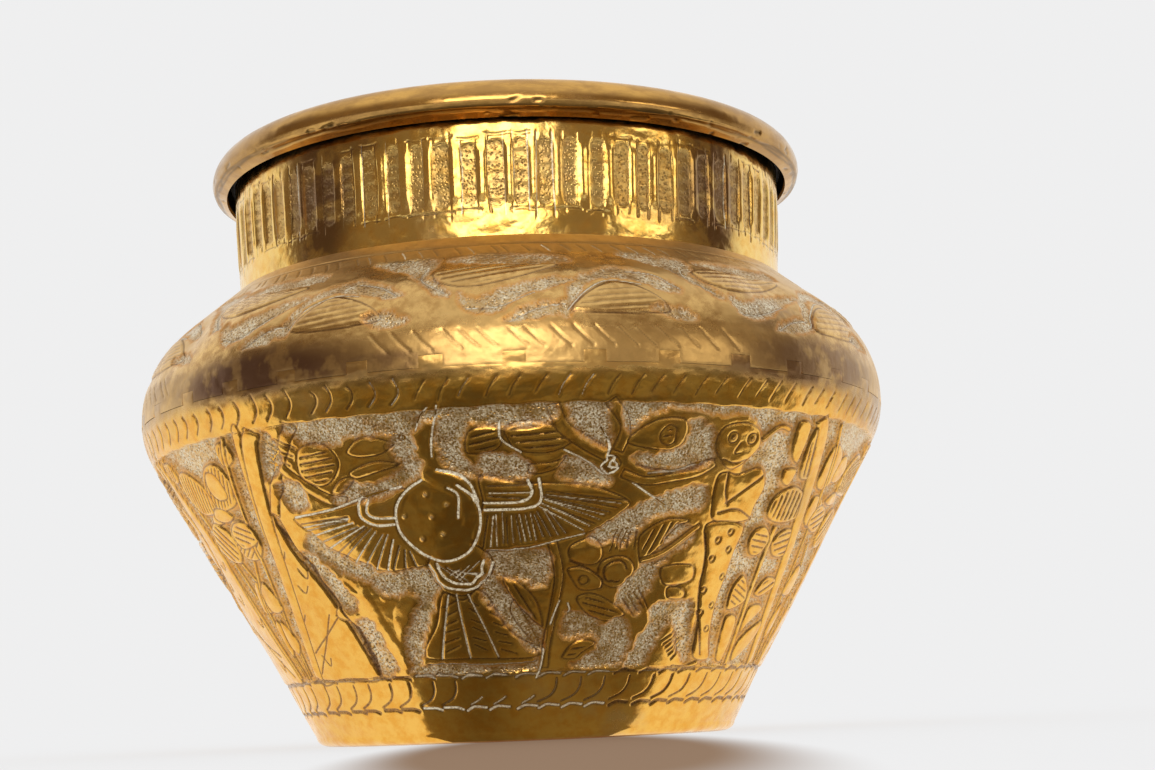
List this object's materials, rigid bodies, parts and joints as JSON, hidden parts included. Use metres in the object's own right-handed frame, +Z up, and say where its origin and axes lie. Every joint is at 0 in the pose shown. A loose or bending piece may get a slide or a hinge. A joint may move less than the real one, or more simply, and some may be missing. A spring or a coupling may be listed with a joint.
{
  "type": "brass urli bowl",
  "caption": "Round sheet-brass pot with a tapering chased body, a domed shoulder, a fluted collar and a turned-over rim, open at the top.",
  "frame": {"origin": "middle of the flat underside of the base, where the pot stands", "axes": "+Z up along the pot's axis; the side chased with the bird faces -Y"},
  "size_m": [0.222, 0.222, 0.1765],
  "materials": {
    "body_brass": "polished high spots, pale stippled ground, dark chased lines",
    "shoulder_brass": "satin, brown tarnish, pale residue in the ground",
    "collar_brass": "polished ribs between stippled flutes",
    "rim_brass": "polished, worn, soot-black inside the hook",
    "braze": "rough, dull",
    "solder": "dull grey solder"
  },
  "bodies": {
    "root": {"base_disc": "body_brass", "lower_body": "body_brass", "shoulder": "shoulder_brass", "neck_collar": "collar_brass", "rim_ring": "rim_brass", "base_braze": "braze", "belly_braze": "braze", "neck_braze": "braze", "rim_solder": "solder"}
  },
  "joints": []
}
